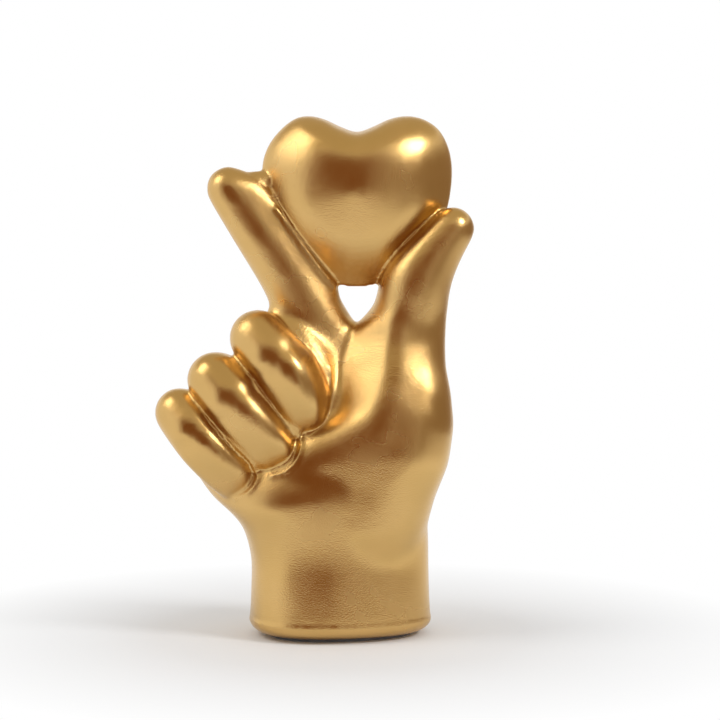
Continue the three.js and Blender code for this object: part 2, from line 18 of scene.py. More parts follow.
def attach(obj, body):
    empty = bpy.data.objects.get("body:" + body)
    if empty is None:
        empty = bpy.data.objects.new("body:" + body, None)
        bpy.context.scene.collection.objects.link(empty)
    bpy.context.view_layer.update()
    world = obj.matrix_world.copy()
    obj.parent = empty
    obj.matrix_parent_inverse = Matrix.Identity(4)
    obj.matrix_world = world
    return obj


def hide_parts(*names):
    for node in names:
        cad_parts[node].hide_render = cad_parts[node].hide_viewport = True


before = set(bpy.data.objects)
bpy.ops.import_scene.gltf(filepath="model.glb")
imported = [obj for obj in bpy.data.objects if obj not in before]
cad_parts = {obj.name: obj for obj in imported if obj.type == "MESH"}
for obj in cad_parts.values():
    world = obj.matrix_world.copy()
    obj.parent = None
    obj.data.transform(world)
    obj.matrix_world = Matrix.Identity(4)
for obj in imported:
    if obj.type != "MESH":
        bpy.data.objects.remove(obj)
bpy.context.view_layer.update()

MM = 0.001
print("nodes in the frame:", sorted(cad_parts))

# %% [markdown]
# ## The camera
#
# The photograph was taken from about a metre away, straight in front of the palm and a little above
# the middle of the sculpture. A long lens keeps the upright edges upright. We place the camera
# first, so that every later look is from the right place.

# %% The camera
LOOK_AT = Vector((7.5, 0, 103.6)) * MM
CAMERA_DISTANCE = 0.95
CAMERA_HEIGHT_ANGLE = math.radians(4.5)
SENSOR_WIDTH = 36
LENS = 126.35

back = Vector((0, -math.cos(CAMERA_HEIGHT_ANGLE), math.sin(CAMERA_HEIGHT_ANGLE)))
camera_data = bpy.data.cameras.new("camera")
camera_data.sensor_width = SENSOR_WIDTH
camera_data.lens = LENS
camera = bpy.data.objects.new("camera", camera_data)
bpy.context.scene.collection.objects.link(camera)
camera.location = LOOK_AT + back * CAMERA_DISTANCE
camera.rotation_euler = (-back).to_track_quat("-Z", "Y").to_euler()
bpy.context.scene.camera = camera
print("camera at", [round(v, 3) for v in camera.location])

# %% [markdown]
# ## Building a mass from rings
#
# A finger, a palm or a thumb is a tube whose thickness changes. By hand one adds circles along it
# like ribs, turns and sizes each one, and bridges them into a skin. Two helpers do that: one adds a
# ring, one bridges the rings and closes both ends. A third adds a smooth curve through a few
# stations, so that a limb is written as a short list of places with a radius at each.

# %% Rings, bridges and limbs
SIDES = 40
CAP_STEPS = 6
# the angles of a quarter turn, for round ends and edges
QUARTER = [math.pi / 2 * step / CAP_STEPS for step in range(CAP_STEPS + 1)]


def choose(piece):
    """Selects one object and nothing else, and makes it the active one."""
    bpy.ops.object.select_all(action="DESELECT")
    piece.select_set(True)
    bpy.context.view_layer.objects.active = piece


def start_piece(name):
    """A new empty mesh, open for editing, with nothing else selected."""
    bpy.ops.object.select_all(action="DESELECT")
    bpy.ops.mesh.primitive_circle_add(vertices=SIDES, radius=MM)
    piece = bpy.context.object
    piece.name = name
    bpy.ops.object.mode_set(mode="EDIT")
    bpy.ops.mesh.select_all(action="SELECT")
    bpy.ops.mesh.delete(type="VERT")
    return piece


def bridge_rings(piece):
    """Bridges all the rings of the open piece, closes its ends and leaves edit mode."""
    bpy.ops.mesh.select_all(action="SELECT")
    bpy.ops.mesh.bridge_edge_loops()
    bpy.ops.mesh.select_all(action="SELECT")
    bpy.ops.mesh.fill_holes(sides=0)
    bpy.ops.mesh.normals_make_consistent(inside=False)
    bpy.ops.object.mode_set(mode="OBJECT")
    return piece


def on_curve(a, b, c, d, t):
    """The place at a share t of the way from b to c, on a smooth curve through a, b, c and d."""
    return 0.5 * (2 * b + (c - a) * t + (2 * a - 5 * b + 4 * c - d) * t**2
                  + (3 * b - a - 3 * c + d) * t**3)


def through_stations(stations, steps):
    """A smooth curve through stations (x, y, z, radius), as a longer list of stations."""
    ends = [stations[0], *stations, stations[-1]]
    places = []
    for before, start, end, after in zip(ends, ends[1:], ends[2:], ends[3:]):
        for step in range(steps):
            t = step / steps
            places.append(tuple(on_curve(*four, t) for four in zip(before, start, end, after)))
    return [*places, stations[-1]]


def limb(name, stations, steps=5, grow=0):
    """A round limb with round ends, swept through stations (x, y, z, radius) in millimetres."""
    places = [(x, y, z, radius + grow) for x, y, z, radius in through_stations(stations, steps)]
    centres = [Vector(place[:3]) for place in places]
    radii = [place[3] for place in places]
    rings = []
    for i, (centre, radius) in enumerate(zip(centres, radii)):
        along = (centres[min(i + 1, len(centres) - 1)] - centres[max(i - 1, 0)]).normalized()
        rings.append((centre, along, radius))
    first, first_along, first_radius = rings[0]
    last, last_along, last_radius = rings[-1]
    for t in QUARTER[1:-1]:
        start = first - first_along * first_radius * math.sin(t)
        rings.insert(0, (start, first_along, first_radius * math.cos(t)))
        end = last + last_along * last_radius * math.sin(t)
        rings.append((end, last_along, last_radius * math.cos(t)))
    piece = start_piece(name)
    for centre, along, radius in rings:
        turn = along.to_track_quat("Z", "X").to_euler()
        bpy.ops.mesh.primitive_circle_add(
            vertices=SIDES, radius=radius * MM, location=centre * MM, rotation=turn
        )
    return bridge_rings(piece)


BALL_DETAIL = 3


def wrap(name, balls, grow=0):
    """The tight skin round a few balls (x, y, z, radius) in millimetres, as cling film."""
    piece = start_piece(name)
    for x, y, z, radius in balls:
        bpy.ops.mesh.primitive_ico_sphere_add(
            subdivisions=BALL_DETAIL, radius=(radius + grow) * MM, location=Vector((x, y, z)) * MM
        )
    bpy.ops.mesh.select_all(action="SELECT")
    bpy.ops.mesh.convex_hull()
    bpy.ops.object.mode_set(mode="OBJECT")
    return piece


def wrap_along(name, sections, grow=0):
    """Wraps each section, a list of balls, together with the next one."""
    return [
        wrap(f"{name}_{i}", [*start, *end], grow)
        for i, (start, end) in enumerate(zip(sections, sections[1:]))
    ]


print("a ring has", SIDES, "sides, and a round end", CAP_STEPS, "steps")

# %% [markdown]
# ## The wrist and the palm
#
# The wrist is an oval column with a rounded foot, and it widens and leans into the palm, whose
# knuckles stand in a slanting row. Its rings are ovals: each is a circle that is narrowed in depth,
# tilted like the knuckles and turned like the foot.

# %% Oval rings, and the foot's round edge
# 2 is an ellipse, and more is boxier
SQUARENESS = 2.35
FOOT_BOTTOM = 1.3
FOOT_HALF_WIDTH = 34.6
FOOT_HALF_DEPTH = 26.4
# the round edge of the foot: how high it goes, and how far in
FOOT_EDGE = 5.2
FOOT_INSET = 6.4
FOOT_TURN = 12


def add_oval(height, across, depth, half_width, half_depth, tilt, turn):
    """A ring of the palm, in millimetres and degrees, a little boxier than an ellipse."""
    leaning = Matrix.Rotation(math.radians(turn), 4, "Z") @ Matrix.Rotation(
        math.radians(-tilt), 4, "Y"
    )
    bpy.ops.mesh.primitive_circle_add(vertices=SIDES, radius=MM)
    open_mesh = bmesh.from_edit_mesh(bpy.context.object.data)
    for i, corner in enumerate(v for v in open_mesh.verts if v.select):
        x, y = (
            math.copysign(abs(share) ** (2 / SQUARENESS), share)
            for share in (math.cos(2 * math.pi * i / SIDES), math.sin(2 * math.pi * i / SIDES))
        )
        place = leaning @ Vector((x * half_width, y * half_depth, 0))
        corner.co = (place + Vector((across, depth, height))) * MM


def add_foot_ring(height, inset):
    """A ring of the foot at a height, that far inside its widest outline."""
    add_oval(height, 0, 0, FOOT_HALF_WIDTH - inset, FOOT_HALF_DEPTH - inset, 0, FOOT_TURN)


def add_foot_edge(angles):
    """The rings of the foot's round edge."""
    for t in angles:
        height = FOOT_BOTTOM + FOOT_EDGE * (1 - math.cos(t))
        add_foot_ring(height, FOOT_INSET * (1 - math.sin(t)))


print("the foot is", 2 * FOOT_HALF_WIDTH, "mm wide")

# %% The wrist and the palm
KNUCKLE_ROW = Vector((-26.5, 9, 88))
KNUCKLE_TILT = 34
KNUCKLE_HALF_WIDTH = 38.5
KNUCKLE_HALF_DEPTH = 15.5

# height, place across and in depth, half width, half depth, tilt and turn in degrees
PALM_RINGS = [
    (9, 0, 0, 33.8, 25.7, 0, 12),
    (18, 0, 0, 33.5, 24.9, 0, 12),
    (28, 0, 0, 33.3, 24, 0, 12),
    (37, -0.8, -0.4, 33.9, 23.9, 3, 10.2),
    (47.2, -2.8, -1.4, 34.5, 24.4, 9, 8.2),
    (58, -8, -2, 35.4, 24.6, 17, 6),
    (68.8, -15, 0.5, 36.8, 22.2, 26.2, 3.8),
    (79, -20.9, 4.8, 38.2, 18.6, 31, 1.8),
    (KNUCKLE_ROW.z, KNUCKLE_ROW.x, KNUCKLE_ROW.y, KNUCKLE_HALF_WIDTH, KNUCKLE_HALF_DEPTH,
     KNUCKLE_TILT, 0),
]
PALM_STEPS = 3
# the rounding over the knuckles: how high it rises, and how much narrower it gets
CROWN_RISE = 14
CROWN_NARROWING = 9.8

palm = start_piece("palm")
add_foot_edge(QUARTER[:-1])
for ring in through_stations(PALM_RINGS, PALM_STEPS):
    add_oval(*ring)
for t in QUARTER[1:-1]:
    tilt = math.radians(KNUCKLE_TILT)
    ahead = Vector((-math.sin(tilt), 0, math.cos(tilt))) * CROWN_RISE * math.sin(t)
    place = KNUCKLE_ROW + ahead
    half_width = KNUCKLE_HALF_WIDTH - CROWN_NARROWING * (1 - math.cos(t))
    half_depth = KNUCKLE_HALF_DEPTH * math.cos(t)
    add_oval(place.z, place.x, place.y, half_width, half_depth, KNUCKLE_TILT, 0)
bridge_rings(palm)
print("palm", [round(v / MM, 1) for v in palm.dimensions])

# %% The foot's own rim, which stands out a little below a fine line round the wrist
FOOT_RIM_TOP = 6.3
# above the round edge: the height and how far in
RIM_RINGS = ((FOOT_RIM_TOP - 0.4, 0.1), (FOOT_RIM_TOP, 0.6), (FOOT_RIM_TOP + 0.1, 3))

foot_band = start_piece("foot_band")
add_foot_edge(QUARTER)
for height, inset in RIM_RINGS:
    add_foot_ring(height, inset)
bridge_rings(foot_band)
print("foot rim", [round(v / MM, 1) for v in foot_band.dimensions])

# %% [markdown]
# ## The thumb, the index finger and the web between them
#
# These grow out of the palm without a step, so they are pressed into it while everything is still
# rough. The thumb runs as one long ray from the wrist, where it is the ball of the thumb. The web
# and the heel of the palm are a few short limbs that fill what lies between.

# %% The thumb, the index finger and the web
THUMB = [
    (26, -4, 116, 12.8), (26.5, -5.5, 124, 13), (29.4, -7, 135.1, 12.6),
    (35.8, -8, 145.4, 10.1), (42, -8.5, 153.3, 8.2),
]
# each section: the ridge, the outer side, the back and the edge towards the web
THUMB_BALL = [
    [(26, -11.5, 131, 6), (29, -6, 131, 12), (27, -3, 131, 12.5), (22, -8.5, 131, 5)],
    [(21.8, -12.5, 120, 6), (28.5, -5, 120, 11.3), (25, -2, 120, 12.3), (16.4, -8, 120, 4.2)],
    [(20.6, -14.4, 110, 6), (27.2, -5.4, 110, 12.1), (20, 0, 110, 11), (5, -5.3, 110, 4)],
    [(20.2, -16.8, 100, 7), (27, -7.6, 100, 12.6), (15, 4, 98, 12), (1.7, -7.3, 100, 5)],
    [(18.6, -17.6, 90, 9), (27.2, -9.4, 90, 14.4), (10, 4, 88, 14), (2, -10.8, 90, 6)],
    [(15.5, -16.5, 80, 12), (25.1, -9.6, 80, 17.4), (8, 2, 78, 16), (2, -12.4, 80, 8)],
    [(14, -12.3, 70, 16), (22.2, -9.2, 70.5, 19), (5, 0, 66, 18), (-4, -10.5, 68, 15.5)],
    [(6, -5, 57, 21), (15.6, -6, 59, 21), (0, 0, 54, 20), (-12, -6, 57, 16)],
    [(8, -3.2, 46, 22), (10.4, -3, 46, 22.8), (0, 0, 44, 20), (-6, -2, 45, 20)],
    [(5, 1, 24, 20), (6, 1, 24, 20)],
]
PALM_CREST = [
    (8, -10.5, 71, 16.5), (-4, -10, 68, 16.3), (-12, -9.6, 63.5, 15.6), (-20, -8.6, 58.5, 14.6),
    (-28, -6.6, 53, 12.6),
]
INDEX = [
    (-4, 2, 109, 12.4), (-11.4, 0, 122, 12.2), (-19.6, -2, 136.9, 11.2),
    (-31.5, -5, 154, 9.7), (-41.4, -7, 168.1, 8.3),
]
INDEX_PAD = [
    (-4.6, -2, 130, 4.6), (-12, -3, 141, 7), (-23.5, -4, 154.7, 7.8), (-33.5, -6, 166, 7.4),
    (-40, -7, 167, 7.8),
]
INDEX_ROOT = [(-5, 1, 112, 12), (-8, -6.5, 99, 8.5), (-6.4, -11.5, 88, 7), (-7, -12, 76, 8)]
MIDDLE_BED = [(-22.5, -5, 119, 6), (-16, -9, 112, 7), (-9.5, -11, 103, 7), (-7, -13, 92, 6)]
WEB = [(-2.8, 2, 100.2, 12), (9, 1, 103.2, 11), (22, -1, 105.4, 11)]

hand_parts = [
    palm,
    limb("thumb", THUMB),
    *wrap_along("thumb_ball", THUMB_BALL),
    limb("palm_crest", PALM_CREST),
    limb("index", INDEX),
    limb("index_pad", INDEX_PAD),
    limb("index_root", INDEX_ROOT),
    limb("middle_bed", MIDDLE_BED),
    limb("web", WEB),
]
print("rough masses of the hand:", len(hand_parts))

# %% [markdown]
# ## From clay to skin
#
# A voxel remesh melts parts that run through each other into one closed skin, as a thumb smears
# clay over a joint, and the Smooth modifier then rounds the inner corners. The finer the voxels,
# the sharper the creases that survive.

# %% Melting parts into one skin
SMOOTH_FACTOR = 0.5
HAND_VOXEL = 1.0 * MM
HAND_SMOOTHING = 60
HAND_SWELLING = 0.3 * MM


def apply_all(piece):
    """Applies every modifier of a piece, in order."""
    choose(piece)
    for modifier in list(piece.modifiers):
        bpy.ops.object.modifier_apply(modifier=modifier.name)


def swell(piece, distance):
    """Adds a modifier that moves the whole surface outwards."""
    modifier = piece.modifiers.new("swell", "DISPLACE")
    modifier.strength = distance
    modifier.mid_level = 0


def melt(name, parts, voxel, smoothing, swelling=0):
    """Joins closed parts, melts them into one skin and smooths it so many times.
    Smoothing thins round parts a little, and swelling gives that back."""
    bpy.ops.object.select_all(action="DESELECT")
    for part in parts:
        part.select_set(True)
    bpy.context.view_layer.objects.active = parts[0]
    bpy.ops.object.join()
    skin = bpy.context.object
    skin.name = name
    remesh = skin.modifiers.new("remesh", "REMESH")
    remesh.mode = "VOXEL"
    remesh.voxel_size = voxel
    smooth = skin.modifiers.new("smooth", "SMOOTH")
    smooth.factor = SMOOTH_FACTOR
    smooth.iterations = smoothing
    if swelling:
        swell(skin, swelling)
    apply_all(skin)
    print(name, "has", len(skin.data.polygons), "faces")
    return skin


hand = melt("hand", hand_parts, HAND_VOXEL, HAND_SMOOTHING, HAND_SWELLING)

# %% [markdown]
# ## The folded fingers
#
# Each folded finger goes forward from its knuckle to its bend and then down over the palm. Two
# limbs make the knuckle and the bend. Along the visible front, balls of clay set side by side are
# wrapped together: one of them makes the bony ridge that catches the light, and the others the
# softer sides. Each finger is melted by itself, so that its folds turn soft.

# %% The folded fingers
STUMPS = {
    "middle": [(-20, 9, 103, 10.2), (-30, -14, 112.6, 10.4)],
    "ring": [(-36, 9, 88, 10.2), (-45, -15, 97.2, 10.3)],
    "little": [(-48, 9, 75, 9), (-58.4, -12, 84.6, 9)],
}
FRONTS = {
    "middle": [
        (-30.2, -16.3, 113, 10.3), (-25, -19.5, 107.2, 10.9), (-19.2, -21.4, 100.4, 11.6),
        (-13.9, -19.4, 89.8, 10.8), (-11.7, -15.8, 83.4, 9),
    ],
    "ring": [
        (-46, -17.2, 97.6, 10.2), (-40.5, -20.3, 91.8, 10.7), (-34.4, -22.1, 85, 10.9),
        (-26.2, -19.4, 75.4, 10.5), (-22.6, -15.8, 70.6, 9.2),
    ],
    "little": [
        (-59.4, -14.5, 85.2, 9), (-55, -17.3, 80.2, 9.6), (-49.6, -19, 73.8, 10),
        (-41.4, -16.5, 64.8, 9.8), (-38, -13.4, 60.4, 8.8),
    ],
}
# balls of a finger's section: how far towards its upper side, how far forward, and the radius,
# as shares of the finger's own radius: the lower edge, the ridge, the upper edge and the back
SECTION = [(-0.4, 0, 0.6), (0.16, 0.38, 0.54), (0.56, -0.12, 0.44), (0, -0.4, 0.6)]
FRONT_STEPS = 3
FINGER_VOXEL = 0.8 * MM
FINGER_SMOOTHING = 40
FINGER_SWELLING = 0.4 * MM


def folded_front(name, stations, grow=0):
    """The visible run of a folded finger, with a ridge along it."""
    places = through_stations(stations, FRONT_STEPS)
    run = Vector(places[-1][:3]) - Vector(places[0][:3])
    upward = Vector((-run.z, 0, run.x)).normalized()
    sections = []
    for x, y, z, radius in places:
        sections.append([
            (x + upward.x * up * radius, y - ahead * radius, z + upward.z * up * radius,
             share * radius)
            for up, ahead, share in SECTION
        ])
    return wrap_along(name, sections, grow)


def folded_finger(name, grow=0):
    """All the masses of one folded finger, made that much thicker all over."""
    return [
        limb(f"{name}_stump", STUMPS[name], grow=grow),
        limb(f"{name}_bend", FRONTS[name][:2], grow=grow),
        *folded_front(f"{name}_front", FRONTS[name], grow),
    ]


finger_parts = [
    melt(f"{name}_clay", folded_finger(name), FINGER_VOXEL, FINGER_SMOOTHING, FINGER_SWELLING)
    for name in FRONTS
]

# %% [markdown]
# ## The heart
#
# The heart is plump, with two lobes, a soft notch and a blunt point. Its rings follow one outline
# that shrinks towards the front and the back, and the notch fades out on the way, as on a pillow.

# %% The heart's outline
HEART_CENTRE = Vector((6.3, -2.5, 165))
HEART_WIDTH = 71
HEART_HEIGHT = 64.5
HEART_THICKNESS = 39
# the outline from the notch to the point, as shares of half the width and of the height
HEART_RIGHT = [
    (0, 0.372), (0.17, 0.402), (0.34, 0.445), (0.52, 0.463), (0.7, 0.445), (0.86, 0.385),
    (0.96, 0.285), (1, 0.17), (0.99, 0.04), (0.94, -0.09), (0.81, -0.225), (0.6, -0.365),
    (0.37, -0.475), (0.15, -0.517), (0, -0.523),
]
# the left lobe slopes more at its shoulder
HEART_LEFT = [
    (0, 0.372), (0.17, 0.402), (0.34, 0.445), (0.49, 0.463), (0.64, 0.45), (0.79, 0.39),
    (0.92, 0.3), (0.99, 0.19), (0.99, 0.04), (0.94, -0.09), (0.81, -0.225), (0.6, -0.365),
    (0.37, -0.475), (0.15, -0.517), (0, -0.523),
]
HEART_SIDES = 96


def closed_curve(corners, count):
    """So many evenly spread places on a smooth closed curve through the corners."""
    ring = []
    for i in range(count):
        share = i * len(corners) / count
        k = int(share)
        t = share - k
        four = [corners[(k + j) % len(corners)] for j in (-1, 0, 1, 2)]
        ring.append(on_curve(*four, t))
    return ring


right_side = [Vector((x * HEART_WIDTH / 2, 0, z * HEART_HEIGHT)) for x, z in HEART_RIGHT]
left_side = [Vector((-x * HEART_WIDTH / 2, 0, z * HEART_HEIGHT)) for x, z in HEART_LEFT[-2:0:-1]]
heart_edge = closed_curve(right_side + left_side, HEART_SIDES)
print("the heart's outline has", len(heart_edge), "places")

# %% The heart
HEART_ROWS = 40
# the fullest place, above the middle, and the plain oval that the inner rings come from, both as
# shares of the whole, and how late the rings take on the outline with its notch
HEART_CROWN = 0.06
HEART_OVAL = 0.47
NOTCH_FADE = 1.6
# higher is fuller, with a tighter turn at the edge
LOBE_FULLNESS = 3
WEDGE_FULLNESS = 5
# how much the wedge and the underside fall back towards the point, and how round the wedge starts
WEDGE_FALL = 0.6
WEDGE_CREST = 0.01
UNDERSIDE_START = 0.5
UNDERSIDE_FALL = 0.75
UNDERSIDE_TURN = 2.2


def heart_bulge(share, lowness):
    """How far forward the heart stands, as a share of half its thickness: round towards the lobes,
    and towards the point a straight wedge that turns under to a blunt end."""
    round_side = math.sqrt(1 - share**LOBE_FULLNESS)
    turned_under = max(0, share - UNDERSIDE_START) / (1 - UNDERSIDE_START)
    wedge_side = (
        math.sqrt(1 - share**WEDGE_FULLNESS)
        * (1 - WEDGE_FALL * (math.sqrt(share**2 + WEDGE_CREST) - math.sqrt(WEDGE_CREST)))
        * (1 - UNDERSIDE_FALL * turned_under**UNDERSIDE_TURN)
    )
    return round_side + (wedge_side - round_side) * lowness


heart = start_piece("heart")
fullest = Vector((0, 0, HEART_HEIGHT * HEART_CROWN))
for row in range(HEART_ROWS):
    t = math.pi * (row + 0.5) / HEART_ROWS
    share = math.sin(t)
    bpy.ops.mesh.primitive_circle_add(vertices=HEART_SIDES, radius=MM)
    open_mesh = bmesh.from_edit_mesh(heart.data)
    for i, corner in enumerate(v for v in open_mesh.verts if v.select):
        turn = 2 * math.pi * i / HEART_SIDES
        oval = Vector((math.sin(turn) * HEART_WIDTH, 0, math.cos(turn) * HEART_HEIGHT))
        place = fullest.lerp((oval * HEART_OVAL).lerp(heart_edge[i], share**NOTCH_FADE), share)
        forward = heart_bulge(share, 0.5 - 0.5 * math.cos(turn))
        place.y = -HEART_THICKNESS / 2 * math.copysign(forward, math.cos(t))
        corner.co = (place + HEART_CENTRE) * MM
bridge_rings(heart)
print("heart", [round(v / MM, 1) for v in heart.dimensions])

# %% [markdown]
# ## The modelled lines
#
# Beside every crease the modeller left a thin roll: between the folded fingers, round their tips
# and along the index finger where it meets the heart. We lay such rolls on the surface as seen from
# the camera: a ray through each place of the drawn line finds the surface behind it.

# %% Thin rolls beside the creases
def seen_at(across, height, masses):
    """The place on some masses that the camera sees at a place of the picture, in millimetres."""
    start = camera.location
    towards = (Vector((across, 0, height)) * MM - start).normalized()
    hits = [mass.ray_cast(start, towards) for mass in masses]
    places = [place for found, place, _, _ in hits if found]
    if not places:
        raise ValueError(f"nothing is seen at {across}, {height}")
    return min(places, key=lambda place: (place - start).length) / MM


def along_line(line, thickness, sunk, masses):
    """Stations of a thin roll of clay along a line, sunk so far into the masses it lies on."""
    places = [seen_at(across, height, masses) for across, height in line]
    return [(place.x, place.y + sunk, place.z, thickness / 2) for place in places]


ROLLS = {
    "middle_to_ring": [
        (-40.9, 103.9), (-37.6, 100.2), (-32.7, 94.4), (-26.3, 87.2), (-18.4, 78.6), (-15, 74.1),
    ],
    "round_ring_tip": [
        (-15, 74.1), (-14.3, 70.7), (-16.2, 65), (-20.5, 60.8), (-26, 59.4),
    ],
    "ring_to_little": [
        (-55, 89), (-50.8, 83.5), (-42.1, 74.1), (-34.2, 66.2), (-31.2, 61.3),
    ],
    "round_little_tip": [
        (-31.2, 61.3), (-30.8, 58.3), (-34.2, 53.2), (-39.5, 51.1),
    ],
    "round_middle_tip": [
        (-4.1, 100.6), (-4.1, 94.8), (-4.9, 87.5), (-7.5, 79.8), (-12.5, 75.2),
    ],
}
ROLL_STEPS = 3
ROLL_THICKNESS = 2
ROLL_SUNK = 0.5
HEART_ROLL = [(-24.2, 160), (-19, 152.8), (-12.6, 143.8), (-7.2, 136.4), (-2.6, 131)]
HEART_ROLL_THICKNESS = 3
HEART_ROLL_SUNK = 0.9

bpy.context.view_layer.update()
roll_runs = {}
for name, line in ROLLS.items():
    # round a finger's tip the roll lies on the palm alone
    masses = [hand] if name.startswith("round") else [hand, *finger_parts]
    roll_runs[name] = along_line(line, ROLL_THICKNESS, ROLL_SUNK, masses)
roll_runs["along_index"] = along_line(
    HEART_ROLL, HEART_ROLL_THICKNESS, HEART_ROLL_SUNK, [hand, heart]
)
rolls = [limb(name, stations, ROLL_STEPS) for name, stations in roll_runs.items()]
print("rolls:", len(rolls))

# %% [markdown]
# ## One skin
#
# Everything is melted once more, now finely, so that the creases stay crisp where the fingers, the
# heart and the palm meet, and the joints between the cast pieces don't show, as on the painted
# original. A copy of the heart is kept as a tool for the sawing, and a copy of the whole skin for
# its shading.

# %% One skin
SKIN_VOXEL = 0.62 * MM
SKIN_SMOOTHING = 7
# fills the narrow gap between the index finger's tip and the heart
HEART_FILLET = [(-35, -6, 168.6, 5.5), (-25, -4.5, 171, 4)]


def copy_of(piece, name):
    """A copy of a piece with its own mesh."""
    twin = piece.copy()
    twin.data = piece.data.copy()
    twin.name = name
    bpy.context.scene.collection.objects.link(twin)
    return twin


heart_saw = copy_of(heart, "heart_saw")
heart_parts = [heart, limb("heart_fillet", HEART_FILLET)]
skin = melt(
    "gold_skin", [hand, *finger_parts, *heart_parts, *rolls, foot_band], SKIN_VOXEL, SKIN_SMOOTHING
)
whole = copy_of(skin, "whole_skin")

# %% [markdown]
# ## Sawing the skin into the cast pieces
#
# The real figure is cast in seven pieces, since a mould can't let go of a held heart or of what
# lies behind folded fingers. A Boolean modifier saws each piece off the skin. Its tool is the
# piece's own form made a little thicker, or a block with a flat side where a finger was sawn
# straight through. Both cut faces fit each other exactly, so the painted surface stays whole.

# %% Tools for sawing
BLOCK_SIZE = 400
BLOCK_HEIGHT = 100


def block_beyond(name, planes):
    """A large block, cut flat at some planes, each a place in millimetres and the way to keep."""
    bpy.ops.object.select_all(action="DESELECT")
    bpy.ops.mesh.primitive_cube_add(size=BLOCK_SIZE * MM, location=(0, 0, BLOCK_HEIGHT * MM))
    block = bpy.context.object
    block.name = name
    bpy.ops.object.transform_apply(location=True)
    bpy.ops.object.mode_set(mode="EDIT")
    for place, kept_way in planes:
        bpy.ops.mesh.select_all(action="SELECT")
        bpy.ops.mesh.bisect(
            plane_co=Vector(place) * MM, plane_no=Vector(kept_way).normalized(),
            use_fill=True, clear_inner=True,
        )
    bpy.ops.object.mode_set(mode="OBJECT")
    return block


def carve(piece, tool, operation):
    """Cuts a tool out of a piece, or keeps only what is inside it."""
    boolean = piece.modifiers.new("carve", "BOOLEAN")
    boolean.operation = operation
    boolean.solver = "MANIFOLD"
    boolean.object = tool
    apply_all(piece)


def saw_off(name, tool):
    """Saws what lies inside a tool off the skin, as a piece of its own."""
    piece = copy_of(skin, name)
    carve(piece, tool, "INTERSECT")
    carve(skin, tool, "DIFFERENCE")
    bpy.data.objects.remove(tool)
    print(name, "has", len(piece.data.polygons), "faces")
    return piece


print("a block for sawing is", BLOCK_SIZE, "mm long")

# %% Sawing off the heart and the thumb
TOOL_GROWTH = 0.9
# the thumb is sawn at its knuckle and along the web
THUMB_SAW = ((26.8, -9, 93.5), (-0.1, 2, 10))
WEB_SAW = ((12, 0, 0), (1, 0, 0))

swell(heart_saw, TOOL_GROWTH * MM)
apply_all(heart_saw)
for finger in (limb("index_room", INDEX), limb("pad_room", INDEX_PAD), limb("thumb_room", THUMB)):
    carve(heart_saw, finger, "DIFFERENCE")
    bpy.data.objects.remove(finger)
pieces = {"heart": saw_off("gold_heart", heart_saw)}
pieces["thumb"] = saw_off("gold_thumb", block_beyond("thumb_block", [THUMB_SAW, WEB_SAW]))

# %% Sawing off the fingers
TOOL_VOXEL = 1.0 * MM
TOOL_SMOOTHING = 2
# the flat seat of the folded fingers, and the index finger's saw cut above its knuckle and crease
FINGER_SEAT = ((0, -5, 0), (0, -1, 0))
INDEX_SAW = ((-7.7, 1, 115.5), (-7.4, -2, 13))
INDEX_CREASE = ((-25.6, 0, 121.8), (0.68, 0, 0.74))
FINGER_ROLLS = {
    "middle": ["middle_to_ring", "round_middle_tip"],
    "ring": ["ring_to_little", "round_ring_tip"],
    "little": ["round_little_tip"],
}
for name, edges in FINGER_ROLLS.items():
    forms = folded_finger(name, TOOL_GROWTH)
    forms += [limb(edge, roll_runs[edge], ROLL_STEPS, TOOL_GROWTH) for edge in edges]
    tool = melt(f"{name}_tool", forms, TOOL_VOXEL, TOOL_SMOOTHING)
    seat = block_beyond("seat_block", [FINGER_SEAT])
    carve(tool, seat, "INTERSECT")
    bpy.data.objects.remove(seat)
    pieces[f"{name}_finger"] = saw_off(f"gold_{name}_finger", tool)
pieces["index_finger"] = saw_off(
    "gold_index_finger", block_beyond("index_block", [INDEX_SAW, INDEX_CREASE])
)
skin.name = "gold_hand"
pieces["hand_shell"] = skin

# %% [markdown]
# ## The hollow and the holes for the pins
#
# The wrist is cast hollow, and a plate, a plug of plaster and a foam pad close it. Steel pins cross
# the joints. None of this is seen, but the pieces come apart as the real ones do, so each one gets
# the room that its neighbour needs. The pins' tools are copies of the pins, a little thicker.

# %% The hollow, with a domed top, for the plug and the plate
HOLLOW_START = -1
HOLLOW_TOP = 46
HOLLOW_DOME = 8
HOLLOW_HALF_WIDTH = 24.5
HOLLOW_HALF_DEPTH = 15.2

hollow = start_piece("hollow")
add_oval(HOLLOW_START, 0, 0, HOLLOW_HALF_WIDTH, HOLLOW_HALF_DEPTH, 0, FOOT_TURN)
for t in QUARTER[:-1]:
    height = HOLLOW_TOP - HOLLOW_DOME * (1 - math.sin(t))
    width, depth = HOLLOW_HALF_WIDTH * math.cos(t), HOLLOW_HALF_DEPTH * math.cos(t)
    add_oval(height, 0, 0, width, depth, 0, FOOT_TURN)
bridge_rings(hollow)
carve(skin, hollow, "DIFFERENCE")
bpy.data.objects.remove(hollow)
print("the hollow ends at", HOLLOW_TOP, "mm")

